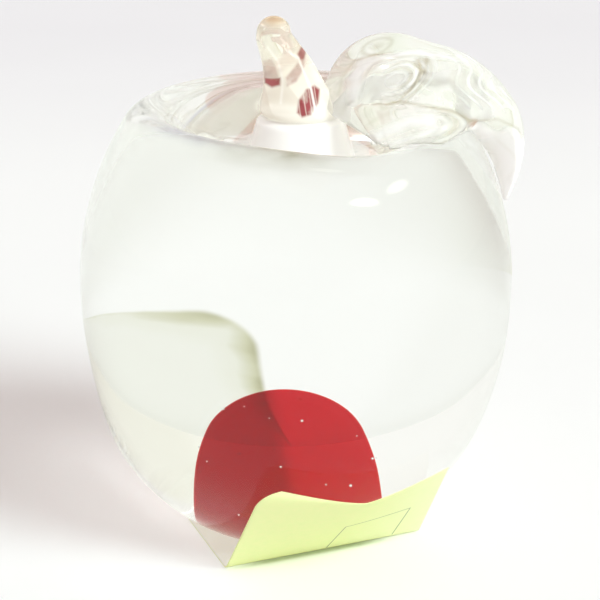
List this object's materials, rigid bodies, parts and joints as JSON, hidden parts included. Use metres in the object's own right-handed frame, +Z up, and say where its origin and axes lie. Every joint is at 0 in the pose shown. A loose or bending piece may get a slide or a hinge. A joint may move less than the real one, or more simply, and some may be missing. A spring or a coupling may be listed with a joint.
{
  "type": "art glass apple paperweight",
  "caption": "Solid clear glass apple with a ruby glass core near the base, a twisted glass stem, a tooled glass leaf over the shoulder and a folded paper label.",
  "frame": {"origin": "on the apple's axis, on the surface that it rests on, at the middle of the base", "axes": "+Z up along the apple's axis, -Y to the front where the label's flap is, +X to the side that the leaf hangs down"},
  "size_m": [0.0785, 0.0791, 0.0909],
  "materials": {
    "clear_glass": "fire-polished, thick and clear",
    "ruby_glass": "deep ruby, sealed in clear glass",
    "stem_glass": "fire-polished, pulled and twisted",
    "leaf_glass": "fire-polished, tooled with ribs",
    "label_paper": "matt fluorescent paper, white back"
  },
  "bodies": {
    "root": {"glass_body": "clear_glass", "ruby_core": "ruby_glass", "stem": "stem_glass", "leaf": "leaf_glass", "paper_label": "label_paper"}
  },
  "joints": []
}
